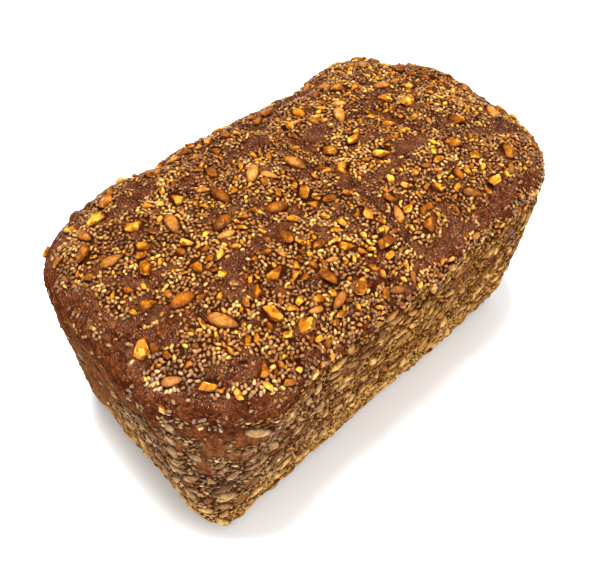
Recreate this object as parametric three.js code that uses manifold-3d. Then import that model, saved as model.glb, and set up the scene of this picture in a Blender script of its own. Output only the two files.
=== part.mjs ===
// Rye bread baked in a tin, its crust covered with seeds and cracked grain. Millimetres, +Z up.
// The origin is the middle of the flat underside, +X runs along the loaf and +Y across it.
import * as THREE from "three";
import { mergeVertices } from "three/addons/utils/BufferGeometryUtils.js";
import Module from "manifold-3d";

const wasm = await Module();
wasm.setup();

// The loaf: walls that lean outwards as the tin's do, and a domed top above the rim.
const LENGTH = 201;
const WIDTH = 113;
const HEIGHT = 108;
const RIM_HEIGHT = 87;
const END_TAPER = 7;
const SIDE_TAPER = 9.5;
const RIM_CORNER = 35;
const BASE_CORNER = 9;
const BASE_EDGE = 9;

// The dome is a superellipse each way: rounder across the loaf, flatter along it.
const DOME_ORDER_ACROSS = 2.4;
const DOME_ORDER_ALONG = 5;

// The crust's slow unevenness: wavelengths in mm, phase in turns. The tin presses the walls flatter.
const CRUST_WAVES = [
  { along: 64, across: -91, up: 140, phase: 0.1, height: 0.6 },
  { along: -97, across: 46, up: 75, phase: 0.55, height: 0.6 },
  { along: 38, across: 53, up: -47, phase: 0.8, height: 0.45 },
  { along: -27, across: 34, up: 39, phase: 0.3, height: 0.3 },
];
const WALL_WAVE_SHARE = 0.45;
const WAVE_FADE_HEIGHT = 14;

// Bare furrows where the rising dough tore the seeds apart: two ends in plan and a half width.
const FURROW_DEPTH = 1.3;
const FURROWS = [
  { from: [-97, 30], to: [-93, -30], half: 7 },
  { from: [-88, -8], to: [-84, -24], half: 5 },
  { from: [-70, 33], to: [-57, 36], half: 4 },
  { from: [-55, -17], to: [-30, -11], half: 4.5 },
  { from: [-26, 26], to: [-6, 30], half: 5 },
  { from: [2, 48], to: [9, 8], half: 5 },
  { from: [5, -14], to: [7, -50], half: 4.5 },
  { from: [12, -17], to: [44, -15], half: 4.5 },
  { from: [30, 45], to: [48, 44], half: 5 },
  { from: [45, 14], to: [49, -9], half: 4 },
  { from: [56, 30], to: [63, 14], half: 4 },
  { from: [66, -24], to: [84, -30], half: 5 },
  { from: [-64, -51], to: [72, -52], half: 4 },
];

// Large pieces of the topping. Each stands proud by a share of its depth, less on the walls,
// where the tin held it back.
const KINDS = {
  grit: { length: 6.3, width: 5, depth: 4 },
  kernel: { length: 7.8, width: 4.7, depth: 4 },
  sunflower: { length: 9.6, width: 4.5, depth: 3 },
};
const TOP_PROUD_SHARE = 0.5;
const WALL_PROUD_SHARE = 0.32;
const GRIT_JITTER = 0.2;

// The pieces that catch the eye on the top: kind, place along and across, heading in degrees.
const SHOWPIECES = [
  ["grit", -72, 36, 20],
  ["grit", -84, 26, 60],
  ["grit", -64, 43, 30],
  ["sunflower", -55, 14, 75],
  ["grit", -46, 24, 70],
  ["grit", -42, 44, 150],
  ["grit", -28, 26, 80],
  ["kernel", -43, 1, 10],
  ["kernel", -34, 13, 95],
  ["sunflower", -19, 13, 40],
  ["kernel", -23, -5, 165],
  ["sunflower", -2, 8, 100],
  ["grit", 9, -6, 20],
  ["sunflower", 31, 17, 55],
  ["grit", 26, -10, 160],
  ["grit", -30, -17, 90],
  ["grit", -30, -38, 110],
  ["grit", -54, -37, 130],
  ["grit", -48, -46, 10],
  ["grit", -43, -26, 0],
  ["grit", -92, -17, 45],
  ["sunflower", -68, -29, 120],
  ["grit", -5, -40, 15],
  ["grit", 16, -44, 20],
];

// The rest of the large pieces are scattered: how many, how far apart, and how much they vary.
const TOP_SCATTER = 52;
const WALL_SCATTER = 66;
const SCATTER_GAP = 2.2;
const WALL_GAP = 4.5;
const SIZE_SPREAD = 0.3;
const TOP_INSET = 5;
const WALL_MARGIN = 7;
const MAX_TRIES = 6000;
const SCATTER_SEED = 1907;

// How finely the crust is divided.
const OUTLINE_STEPS = 84;
const EDGE_LEVELS = 3;
const WALL_LEVELS = 7;
const DOME_LEVELS = 9;
const LAST_DOME_ANGLE = 88;

const mix = (a, b, share) => a + (b - a) * share;

// The same run of numbers from 0 to 1 each time.
function seededDice(seed) {
  let state = seed;
  return () => {
    state = (state + 0x6d2b79f5) | 0;
    let t = Math.imul(state ^ (state >>> 15), state | 1);
    t = (t + Math.imul(t ^ (t >>> 7), t | 61)) ^ t;
    return ((t ^ (t >>> 14)) >>> 0) / 2 ** 32;
  };
}

// The loaf's rounded rectangle at a height: it widens up to the rim and closes over the dome.
function sectionAt(z) {
  const share = Math.min(z / RIM_HEIGHT, 1);
  const below = Math.max(BASE_EDGE - z, 0);
  const undercut = BASE_EDGE - Math.sqrt(BASE_EDGE ** 2 - below ** 2);
  const climb = Math.min(Math.max((z - RIM_HEIGHT) / (HEIGHT - RIM_HEIGHT), 0), 1);
  const left = 1 - climb ** DOME_ORDER_ACROSS;
  const wallLength = LENGTH / 2 - END_TAPER * (1 - share) - undercut;
  const wallWidth = WIDTH / 2 - SIDE_TAPER * (1 - share) - undercut;
  const halfWidth = wallWidth * left ** (1 / DOME_ORDER_ACROSS);
  return {
    halfLength: wallLength * left ** (1 / DOME_ORDER_ALONG),
    halfWidth,
    corner: Math.min(mix(BASE_CORNER, RIM_CORNER, share), halfWidth),
  };
}

// A point on a section's outline, a share of the way round from the middle of the +X end.
function outlinePoint({ halfLength, halfWidth, corner }, turn) {
  const straightY = halfWidth - corner;
  const straightX = halfLength - corner;
  const arc = (corner * Math.PI) / 2;
  const quarterLength = straightY + arc + straightX;
  const quarter = Math.floor(turn * 4);
  const share = turn * 4 - quarter;
  const forward = quarter % 2 === 0;
  const run = (forward ? share : 1 - share) * quarterLength;
  const angle = Math.min(Math.max((run - straightY) / Math.max(corner, 1e-6), 0), Math.PI / 2);
  const x = straightX - Math.max(run - straightY - arc, 0) + corner * Math.cos(angle);
  const y = Math.min(run, straightY) + corner * Math.sin(angle);
  return new THREE.Vector2(quarter === 1 || quarter === 2 ? -x : x, quarter >= 2 ? -y : y);
}

// How far a point lies outside the smooth loaf, measured level.
function outsideBy(x, y, z) {
  const { halfLength, halfWidth, corner } = sectionAt(z);
  const dx = Math.abs(x) - (halfLength - corner);
  const dy = Math.abs(y) - (halfWidth - corner);
  return Math.hypot(Math.max(dx, 0), Math.max(dy, 0)) + Math.min(Math.max(dx, dy), 0) - corner;
}

function normalAt({ x, y, z }) {
  const step = 0.05;
  const slope = (dx, dy, dz) =>
    outsideBy(x + dx, y + dy, Math.max(z + dz, 0)) - outsideBy(x - dx, y - dy, Math.max(z - dz, 0));
  return new THREE.Vector3(slope(step, 0, 0), slope(0, step, 0), slope(0, 0, step)).normalize();
}

// How deep the furrows are at a place on the top, from 0 to 1.
function furrowAt(x, y) {
  let deepest = 0;
  for (const { from, to, half } of FURROWS) {
    const run = [to[0] - from[0], to[1] - from[1]];
    const along = ((x - from[0]) * run[0] + (y - from[1]) * run[1]) / (run[0] ** 2 + run[1] ** 2);
    const share = Math.min(Math.max(along, 0), 1);
    const away = Math.hypot(x - from[0] - run[0] * share, y - from[1] - run[1] * share);
    deepest = Math.max(deepest, 1 - (away / half) ** 2);
  }
  return deepest;
}

// How far the crust stands out from the smooth loaf. The underside stays flat.
function reliefAt({ x, y, z }) {
  const rise = Math.min(Math.max((z - RIM_HEIGHT + WAVE_FADE_HEIGHT) / WAVE_FADE_HEIGHT, 0), 1);
  let wave = 0;
  for (const { along, across, up, phase, height } of CRUST_WAVES) {
    wave += height * Math.sin(2 * Math.PI * (x / along + y / across + z / up + phase));
  }
  const calm = Math.min(z / BASE_EDGE, 1);
  return wave * calm * mix(WALL_WAVE_SHARE, 1, rise) - FURROW_DEPTH * furrowAt(x, y) * rise;
}

function crustPoint(smooth) {
  return smooth.clone().addScaledVector(normalAt(smooth), reliefAt(smooth));
}

// A ring of the walls is the loaf's outline at one height.
function wallRing(z) {
  const section = sectionAt(z);
  return Array.from({ length: OUTLINE_STEPS }, (_, i) => {
    const { x, y } = outlinePoint(section, i / OUTLINE_STEPS);
    return crustPoint(new THREE.Vector3(x, y, z));
  });
}

// A ring of the dome is the rim's outline moved in level and lifted onto the dome, so that the
// last ones close on a spine along the loaf.
function domeRing(inset) {
  const halfWidth = WIDTH / 2 - inset;
  const corner = (RIM_CORNER * halfWidth) / (WIDTH / 2);
  const outline = { halfLength: LENGTH / 2 - inset, halfWidth, corner };
  return Array.from({ length: OUTLINE_STEPS }, (_, i) => {
    const { x, y } = outlinePoint(outline, i / OUTLINE_STEPS);
    return crustPoint(topPoint(x, y));
  });
}

// All rings from the underside up, closer together where the crust curves.
function crustRings() {
  const rings = [];
  for (let i = 0; i < EDGE_LEVELS; i += 1) {
    rings.push(wallRing(BASE_EDGE * (1 - Math.cos(((i / EDGE_LEVELS) * Math.PI) / 2))));
  }
  for (let i = 0; i <= WALL_LEVELS; i += 1) {
    rings.push(wallRing(mix(BASE_EDGE, RIM_HEIGHT, i / WALL_LEVELS)));
  }
  for (let i = 1; i <= DOME_LEVELS; i += 1) {
    const angle = THREE.MathUtils.degToRad((i / DOME_LEVELS) * LAST_DOME_ANGLE);
    rings.push(domeRing((WIDTH / 2) * (1 - Math.cos(angle) ** (2 / DOME_ORDER_ACROSS))));
  }
  return rings;
}

// The crust as one closed skin of rings, with a flat lid below and a near flat one above.
function crustGeometry() {
  const rings = crustRings();
  const index = [];
  for (let level = 0; level < rings.length - 1; level += 1) {
    for (let i = 0; i < OUTLINE_STEPS; i += 1) {
      const here = level * OUTLINE_STEPS + i;
      const next = level * OUTLINE_STEPS + ((i + 1) % OUTLINE_STEPS);
      index.push(here, next, here + OUTLINE_STEPS, next, next + OUTLINE_STEPS, here + OUTLINE_STEPS);
    }
  }
  const lid = (ring) => {
    const flat = ring.map(({ x, y }) => new THREE.Vector2(x, y));
    return THREE.ShapeUtils.triangulateShape(flat, []);
  };
  const top = (rings.length - 1) * OUTLINE_STEPS;
  lid(rings[0]).forEach(([a, b, c]) => index.push(a, c, b));
  lid(rings.at(-1)).forEach(([a, b, c]) => index.push(top + a, top + b, top + c));
  const geometry = new THREE.BufferGeometry().setFromPoints(rings.flat());
  geometry.setIndex(index);
  return geometry;
}

// A closed solid from a geometry, with its shared corners merged and its empty faces left out.
function solidOf(geometry) {
  const bare = geometry.clone();
  bare.deleteAttribute("normal");
  bare.deleteAttribute("uv");
  const merged = mergeVertices(bare, 1e-4);
  const triVerts = [];
  for (let i = 0; i < merged.index.count; i += 3) {
    const [a, b, c] = [0, 1, 2].map((k) => merged.index.getX(i + k));
    if (a !== b && b !== c && c !== a) triVerts.push(a, b, c);
  }
  const vertProperties = new Float32Array(merged.attributes.position.array);
  const mesh = new wasm.Mesh({ numProp: 3, vertProperties, triVerts: new Uint32Array(triVerts) });
  return new wasm.Manifold(mesh);
}

// A spindle 2 long and 2 thick along X, from a profile of [place along, radius].
function spindle(profile, sides) {
  const points = profile.map(([along, radius]) => new THREE.Vector2(radius, along));
  return new THREE.LatheGeometry(points, sides).rotateZ(-Math.PI / 2);
}

// A piece of cracked soya: a lump with flat faces, no two alike.
function gritGeometry(dice) {
  const lump = new THREE.IcosahedronGeometry(1, 0);
  lump.deleteAttribute("normal");
  lump.deleteAttribute("uv");
  const merged = mergeVertices(lump, 1e-4);
  const corners = merged.attributes.position;
  for (let i = 0; i < corners.count; i += 1) {
    const size = 1 + GRIT_JITTER * (2 * dice() - 1);
    corners.setXYZ(i, corners.getX(i) * size, corners.getY(i) * size, corners.getZ(i) * size);
  }
  return merged;
}

// A whole grain is blunt at both ends, and a sunflower kernel is a flat drop.
const KERNEL_PROFILE = [[-1, 0], [-0.68, 0.72], [0, 1], [0.68, 0.72], [1, 0]];
const SUNFLOWER_PROFILE = [[-1, 0], [-0.72, 0.66], [-0.25, 1], [0.45, 0.68], [1, 0]];

function pieceGeometry(kind, dice) {
  if (kind === "grit") return gritGeometry(dice);
  return spindle(kind === "kernel" ? KERNEL_PROFILE : SUNFLOWER_PROFILE, 6);
}

// Where a vertical line through a place in plan meets the smooth top.
function topPoint(x, y) {
  let low = RIM_HEIGHT;
  let high = HEIGHT;
  for (let i = 0; i < 40; i += 1) {
    const middle = (low + high) / 2;
    if (outsideBy(x, y, middle) < 0) low = middle;
    else high = middle;
  }
  return new THREE.Vector3(x, y, low);
}

// Room for a piece of this length at this place, with a gap to each of the others.
function isClear(pieces, point, length, gap) {
  return pieces.every((other) => other.point.distanceTo(point) > (other.length + length) / 2 + gap);
}

function scatterKind(draw, onTop) {
  if (onTop) return draw < 0.75 ? "grit" : draw < 0.93 ? "sunflower" : "kernel";
  return draw < 0.3 ? "grit" : "sunflower";
}

// Every large piece: first those placed by hand, then the scattered ones on the top and walls.
function layPieces() {
  const dice = seededDice(SCATTER_SEED);
  const pieces = SHOWPIECES.map(([kind, x, y, heading]) => {
    const size = 1 + SIZE_SPREAD / 2;
    return { kind, point: topPoint(x, y), heading, size, length: KINDS[kind].length * size, onTop: true };
  });
  const scatter = (count, onTop, gap, place) => {
    let placed = 0;
    for (let tries = 0; placed < count && tries < MAX_TRIES; tries += 1) {
      const point = place(dice(), dice());
      const kind = scatterKind(dice(), onTop);
      const heading = 360 * dice();
      const size = 1 + SIZE_SPREAD * (dice() - 0.5);
      const length = KINDS[kind].length * size;
      if (!point || !isClear(pieces, point, length, gap)) continue;
      pieces.push({ kind, point, heading, size, length, onTop });
      placed += 1;
    }
  };
  scatter(TOP_SCATTER, true, SCATTER_GAP, (a, b) => {
    const x = LENGTH * (a - 0.5);
    const y = WIDTH * (b - 0.5);
    const inside = outsideBy(x, y, RIM_HEIGHT) < -TOP_INSET;
    return inside && furrowAt(x, y) <= 0 ? topPoint(x, y) : null;
  });
  scatter(WALL_SCATTER, false, WALL_GAP, (a, b) => {
    const z = mix(BASE_EDGE + WALL_MARGIN, RIM_HEIGHT - WALL_MARGIN, b);
    const { x, y } = outlinePoint(sectionAt(z), a);
    return new THREE.Vector3(x, y, z);
  });
  return pieces;
}

// A large piece as a solid, turned to its heading on the crust and sunk to its depth.
function pieceSolid({ kind, point, heading, size, onTop }, dice) {
  const { length, width, depth } = KINDS[kind];
  const up = normalAt(point);
  const level = Math.abs(up.x) > 0.9 ? new THREE.Vector3(0, 1, 0) : new THREE.Vector3(1, 0, 0);
  const along = level.projectOnPlane(up).normalize();
  along.applyAxisAngle(up, THREE.MathUtils.degToRad(heading));
  const across = new THREE.Vector3().crossVectors(up, along);
  const proud = depth * size * (onTop ? TOP_PROUD_SHARE : WALL_PROUD_SHARE);
  const centre = crustPoint(point).addScaledVector(up, proud - (depth * size) / 2);
  const geometry = pieceGeometry(kind, dice);
  geometry.scale((length * size) / 2, (width * size) / 2, (depth * size) / 2);
  geometry.applyMatrix4(new THREE.Matrix4().makeBasis(along, across, up).setPosition(centre));
  return solidOf(geometry);
}

function loafGeometry() {
  const dice = seededDice(SCATTER_SEED + 1);
  const solids = layPieces().map((piece) => pieceSolid(piece, dice));
  const loaf = wasm.Manifold.union([solidOf(crustGeometry()), ...solids]);
  const { vertProperties, triVerts } = loaf.getMesh();
  const geometry = new THREE.BufferGeometry();
  geometry.setAttribute("position", new THREE.BufferAttribute(vertProperties, 3));
  geometry.setIndex(new THREE.BufferAttribute(triVerts, 1));
  return geometry;
}

// Baked rye crust: dark, dry and only faintly glossy.
const crust = new THREE.MeshStandardMaterial({ color: 0x6a3a20, roughness: 0.7, metalness: 0 });

const loaf = new THREE.Mesh(loafGeometry(), crust);
loaf.name = "loaf";

const bread = new THREE.Group();
bread.add(loaf);

export default bread;
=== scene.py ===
"""A seeded rye tin loaf: its crust and every kind of seed on it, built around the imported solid."""
import functools
import itertools
import math
from collections import namedtuple

import bpy
import numpy as np
from bpy.props import FloatProperty, FloatVectorProperty, IntProperty, PointerProperty
from bpy.types import Operator, Panel, PropertyGroup
from mathutils import Matrix, Vector


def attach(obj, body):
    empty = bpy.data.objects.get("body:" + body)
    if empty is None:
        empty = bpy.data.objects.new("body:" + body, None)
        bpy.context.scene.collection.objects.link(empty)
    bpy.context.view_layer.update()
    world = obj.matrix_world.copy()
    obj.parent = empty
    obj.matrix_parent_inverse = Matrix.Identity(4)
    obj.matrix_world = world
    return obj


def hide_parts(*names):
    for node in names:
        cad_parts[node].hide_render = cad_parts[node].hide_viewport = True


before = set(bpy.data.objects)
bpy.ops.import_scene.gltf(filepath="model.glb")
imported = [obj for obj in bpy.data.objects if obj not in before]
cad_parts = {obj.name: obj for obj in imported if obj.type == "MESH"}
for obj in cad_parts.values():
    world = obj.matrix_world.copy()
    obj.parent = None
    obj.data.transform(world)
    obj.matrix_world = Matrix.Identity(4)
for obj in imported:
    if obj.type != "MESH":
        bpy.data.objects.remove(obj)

bl_info = {
    "name": "Seeded rye loaf",
    "version": (1, 0, 0),
    "blender": (4, 5, 0),
    "location": "3D View > Sidebar > Loaf",
    "description": "Crust, seeds and stage for a rye loaf baked in a tin",
    "category": "Add Mesh",
}

MM = 0.001

# The loaf's form in millimetres, as in the part: a tapered block with a domed top.
LENGTH = 201
WIDTH = 113
HEIGHT = 108
RIM_HEIGHT = 87
DOME_HEIGHT = HEIGHT - RIM_HEIGHT
END_TAPER = 7
SIDE_TAPER = 9.5
RIM_CORNER = 35
BASE_CORNER = 9
BASE_EDGE = 9
DOME_ORDER_ACROSS = 2.4
DOME_ORDER_ALONG = 5

# The crust's slow unevenness: wavelengths along X, Y and Z, phase in turns, and height.
CRUST_WAVES = [
    (64, -91, 140, 0.1, 0.6), (-97, 46, 75, 0.55, 0.6),
    (38, 53, -47, 0.8, 0.45), (-27, 34, 39, 0.3, 0.3),
]
WALL_WAVE_SHARE = 0.45
WAVE_FADE_HEIGHT = 14

# Bare furrows where the rising dough tore the seeds apart: two ends in plan and a half width.
FURROW_DEPTH = 1.3
FURROWS = [
    ((-97, 30), (-93, -30), 7), ((-88, -8), (-84, -24), 5), ((-70, 33), (-57, 36), 4),
    ((-55, -17), (-30, -11), 4.5), ((-26, 26), (-6, 30), 5), ((2, 48), (9, 8), 5),
    ((5, -14), (7, -50), 4.5), ((12, -17), (44, -15), 4.5), ((30, 45), (48, 44), 5),
    ((45, 14), (49, -9), 4), ((56, 30), (63, 14), 4), ((66, -24), (84, -30), 5),
    ((-64, -51), (72, -52), 4),
]

# The kinds of seed and grain: length, width and depth.
KINDS = {
    "grit": (6.3, 5, 4),
    "kernel": (7.8, 4.7, 4),
    "sunflower": (9.6, 4.5, 3),
    "sesame": (2.15, 1.55, 1.05),
    "hulled": (2.4, 1.6, 1.0),
    "linseed": (3.6, 1.9, 1.0),
    "meal": (1.9, 1.2, 0.9),
}
TOP_PROUD_SHARE = 0.5
WALL_PROUD_SHARE = 0.32

# The pieces that catch the eye on the top: kind, place along and across, heading in degrees.
SHOWPIECES = [
    ("grit", -72, 36, 20), ("grit", -84, 26, 60), ("grit", -64, 43, 30), ("sunflower", -55, 14, 75),
    ("grit", -46, 24, 70), ("grit", -42, 44, 150), ("grit", -28, 26, 80), ("kernel", -43, 1, 10),
    ("kernel", -34, 13, 95), ("sunflower", -19, 13, 40), ("kernel", -23, -5, 165),
    ("sunflower", -2, 8, 100),
    ("grit", 9, -6, 20), ("sunflower", 31, 17, 55), ("grit", 26, -10, 160), ("grit", -30, -17, 90),
    ("grit", -30, -38, 110), ("grit", -54, -37, 130), ("grit", -48, -46, 10), ("grit", -43, -26, 0),
    ("grit", -92, -17, 45), ("sunflower", -68, -29, 120), ("grit", -5, -40, 15), ("grit", 16, -44, 20),
]

# The rest of the large pieces, scattered by the part's rule.
TOP_SCATTER = 52
WALL_SCATTER = 66
SCATTER_GAP = 2.2
WALL_GAP = 4.5
SIZE_SPREAD = 0.3
TOP_INSET = 5
WALL_MARGIN = 7
MAX_TRIES = 6000
SCATTER_SEED = 1907

# What only the looks have, laid in this order over the crust: kind, region, how many, the range
# of sizes against the kind's own, and the gap kept to the neighbours. The small seeds come after.
COURSES = [
    ("sunflower", "top", 40, (0.5, 0.85), 0.2), ("kernel", "top", 4, (0.7, 0.9), 0.3),
    ("grit", "top", 540, (0.3, 0.72), 0.1), ("sunflower", "wall", 420, (0.65, 1.1), 0.2),
    ("grit", "wall", 240, (0.35, 0.7), 0.1), ("sunflower", "underside", 120, (0.6, 0.95), 0.1),
    ("grit", "underside", 50, (0.45, 0.8), 0.1),
]

# Where few seeds stuck on the top: the middle in plan, half length, half width, heading in degrees.
BARE_PATCHES = [
    (-97, 13, 22, 7, 90), (-82, -9, 12, 8, -20), (-58, -23, 9, 4.5, -30), (-76, -43, 15, 5.5, -25),
    (-51, 36, 10, 4.5, 10), (-13, -21, 7, 4, 0), (-4, 2, 8, 5, 20), (1, 30, 9, 5, 30),
    (15, 14, 8, 5, 0), (32, -1, 7, 4.5, -20), (42, -14, 9, 5, 0), (56, 17, 9, 4.5, 30),
    (24, 44, 8, 4, 20), (80, -27, 8, 5, -20),
]

# Where seeds stuck thickly on the top, in the same terms.
THICK_PATCHES = [
    (-86, -28, 11, 9, -20), (-64, -51, 11, 3.5, 0), (-28, -52, 24, 3, 0),
]

# A piece covers one round spot where it is short, and three along it where it is long: their
# places against its half length, and their radii against its width.
LONG_PIECE = 5
SHORT_SPOT = 0.35
LONG_SPOTS = np.array([-0.55, 0, 0.55]), np.array([0.36, 0.46, 0.36])

# Where the underside ends, and where the top starts and how level it is there.
UNDERSIDE_TOP = BASE_EDGE * 0.35
TOP_START = RIM_HEIGHT - 4
TOP_TILT = 0.12

# How the small seeds lie in each region: the share of the least distance that each takes, the
# range of the share of its depth that stands out, and how far it leans.
SEED_LIES = {
    "top": (0.92, (0.42, 0.7), 0.42),
    "wall": (1.04, (0.48, 0.48), 0.16),
    "underside": (1.04, (0.12, 0.12), 0.03),
}
SEED_SIZES = 0.82, 1.12
# Draws from 0 to 1 below which a seed strays to a bare place, is hulled, or else is linseed.
STRAY_DRAW = 0.005
HULLED_DRAW = 0.03
LINSEED_DRAW = 0.045

# The share of its depth that a piece of a course stands out.
COURSE_PROUD = {"top": 0.54, "wall": 0.46, "underside": 0.1}

# The meal's crumbs: radii, the radius of one of full size, the gap kept, how far they stand out
# and lean, and how level the crust is where they keep their glaze.
MEAL_RADII = 0.22, 0.6
MEAL_SPOT = 0.46
MEAL_GAP = 0.1
MEAL_PROUD = 0.33
MEAL_LEAN = 0.5
GLAZED_TILT = 0.72

# How the crust is modelled: the widths of its coarse lumps and fine grain, the share of each
# rounding that the first block has, how many steps its points take to the true form and the
# longest of them, and the steps in how loose the crust is.
CRAG_WIDTH = 9
GRAIN_WIDTH = 2.6
BEVEL_SHARE = 0.8
FIT_STEPS = 10
LONGEST_STEP = 2.5
WEIGHT_STEPS = 20

# The least that a seed under the loaf stays off the table.
TABLE_GAP = 0.02

# The lights: kind, place in metres, size in metres or angle, and power.
LIGHTS = {
    "key": ("AREA", (-0.05, 0.05, 0.95), 0.16, 12.5),
    "overhead": ("SUN", (0.1, -0.1, 1.2), math.radians(80), 2.2),
    "front_fill": ("AREA", (0.3, -0.8, 0.5), 0.6, 3.4),
    "end_fill": ("AREA", (-0.85, -0.35, 0.3), 0.6, 1.7),
    "corner_fill": ("AREA", (-0.6, -0.55, 0.12), 0.5, 3.2),
}
VIEW_TARGET = (-12.6, -4.5, 54)

# A Mix node's inputs by number, since its colour inputs share their names with others.
SHARE, UNDER, OVER = 0, 6, 7

Piece = namedtuple("Piece", "kind point up heading size proud region")


def srgb(code):
    """A hex colour as linear red, green and blue."""
    channels = [int(code[i : i + 2], 16) / 255 for i in (1, 3, 5)]
    return tuple(c / 12.92 if c <= 0.04045 else ((c + 0.055) / 1.055) ** 2.4 for c in channels)


def mix(a, b, share):
    return a + (b - a) * share


def ease(low, high, value):
    share = np.clip((value - low) / (high - low), 0, 1)
    return share * share * (3 - 2 * share)


# The loaf's form as functions of arrays of points, in millimetres.


def section(z):
    """Half length, half width and corner radius of the loaf's rounded rectangle at heights z."""
    share = np.minimum(z / RIM_HEIGHT, 1)
    below = np.clip(BASE_EDGE - z, 0, BASE_EDGE)
    undercut = BASE_EDGE - np.sqrt(BASE_EDGE**2 - below**2)
    climb = np.clip((z - RIM_HEIGHT) / DOME_HEIGHT, 0, 1)
    left = 1 - climb**DOME_ORDER_ACROSS
    wall_length = LENGTH / 2 - END_TAPER * (1 - share) - undercut
    wall_width = WIDTH / 2 - SIDE_TAPER * (1 - share) - undercut
    half_width = wall_width * left ** (1 / DOME_ORDER_ACROSS)
    half_length = wall_length * left ** (1 / DOME_ORDER_ALONG)
    return half_length, half_width, np.minimum(mix(BASE_CORNER, RIM_CORNER, share), half_width)


def outline_points(z, turn):
    """Points on the outline at heights z, a share of the way round from the middle of the +X end."""
    half_length, half_width, corner = section(z)
    straight_y = half_width - corner
    straight_x = half_length - corner
    arc = corner * math.pi / 2
    quarter = np.floor(turn * 4)
    share = turn * 4 - quarter
    run = np.where(quarter % 2 == 0, share, 1 - share) * (straight_y + arc + straight_x)
    angle = np.clip((run - straight_y) / np.maximum(corner, 1e-6), 0, math.pi / 2)
    x = straight_x - np.maximum(run - straight_y - arc, 0) + corner * np.cos(angle)
    y = np.minimum(run, straight_y) + corner * np.sin(angle)
    x = np.where((quarter == 1) | (quarter == 2), -x, x)
    return np.column_stack([x, np.where(quarter >= 2, -y, y), z])


def outside_by(points):
    """How far points lie outside the smooth loaf, measured level."""
    half_length, half_width, corner = section(points[:, 2])
    dx = np.abs(points[:, 0]) - (half_length - corner)
    dy = np.abs(points[:, 1]) - (half_width - corner)
    beyond = np.hypot(np.maximum(dx, 0), np.maximum(dy, 0))
    return beyond + np.minimum(np.maximum(dx, dy), 0) - corner


def slope(points, step=0.05):
    """The gradient of outside_by."""
    parts = []
    for axis in range(3):
        ahead, behind = points.copy(), points.copy()
        ahead[:, axis] += step
        behind[:, axis] -= step
        ahead[:, 2] = np.maximum(ahead[:, 2], 0)
        behind[:, 2] = np.maximum(behind[:, 2], 0)
        parts.append((outside_by(ahead) - outside_by(behind)) / (2 * step))
    return np.column_stack(parts)


def unit(vectors):
    return vectors / np.linalg.norm(vectors, axis=1, keepdims=True)


def top_points(x, y):
    """Where vertical lines through places in plan meet the smooth top."""
    low = np.full(len(x), float(RIM_HEIGHT))
    high = np.full(len(x), float(HEIGHT))
    for _ in range(40):
        middle = (low + high) / 2
        inside = outside_by(np.column_stack([x, y, middle])) < 0
        low = np.where(inside, middle, low)
        high = np.where(inside, high, middle)
    return np.column_stack([x, y, low])


def past_rim(x, y):
    """How far places in plan lie outside the rim."""
    return outside_by(np.column_stack([x, y, np.full(len(x), float(RIM_HEIGHT))]))


def furrow(x, y):
    """How deep the furrows are at places on the top, from 0 to 1."""
    deepest = np.zeros(len(x))
    for start, end, half in FURROWS:
        run = np.subtract(end, start)
        along = ((x - start[0]) * run[0] + (y - start[1]) * run[1]) / (run @ run)
        share = np.clip(along, 0, 1)
        away = np.hypot(x - start[0] - run[0] * share, y - start[1] - run[1] * share)
        deepest = np.maximum(deepest, 1 - (away / half) ** 2)
    return deepest


def relief(points):
    """How far the crust stands out from the smooth loaf."""
    x, y, z = points.T
    rise = np.clip((z - RIM_HEIGHT + WAVE_FADE_HEIGHT) / WAVE_FADE_HEIGHT, 0, 1)
    wave = 0
    for along, across, up, phase, height in CRUST_WAVES:
        wave = wave + height * np.sin(2 * math.pi * (x / along + y / across + z / up + phase))
    calm = np.minimum(z / BASE_EDGE, 1)
    return wave * calm * mix(WALL_WAVE_SHARE, 1, rise) - FURROW_DEPTH * furrow(x, y) * rise


def patches(points, wavelength, seed):
    """A smooth random field, about -1 to 1, that comes and goes over this wavelength."""
    rng = np.random.default_rng(seed)
    ways = unit(rng.normal(size=(12, 3))) * (2 * math.pi / wavelength) * rng.uniform(0.7, 1.4, (12, 1))
    waves = np.sin(points @ ways.T + rng.uniform(0, 2 * math.pi, 12))
    return waves.sum(1) / math.sqrt(12)


# The topping's plan.


def dice_run(seed, count):
    """The part's run of numbers from 0 to 1."""
    word = 0xFFFFFFFF
    state = seed
    numbers = np.empty(count)
    for i in range(count):
        state = (state + 0x6D2B79F5) & word
        t = ((state ^ (state >> 15)) * (state | 1)) & word
        t = ((t + (((t ^ (t >> 7)) * (t | 61)) & word)) & word) ^ t
        numbers[i] = (t ^ (t >> 14)) / 2**32
    return numbers


def scatter_kind(draw, on_top):
    if on_top:
        return "grit" if draw < 0.75 else "sunflower" if draw < 0.93 else "kernel"
    return "grit" if draw < 0.3 else "sunflower"


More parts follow.
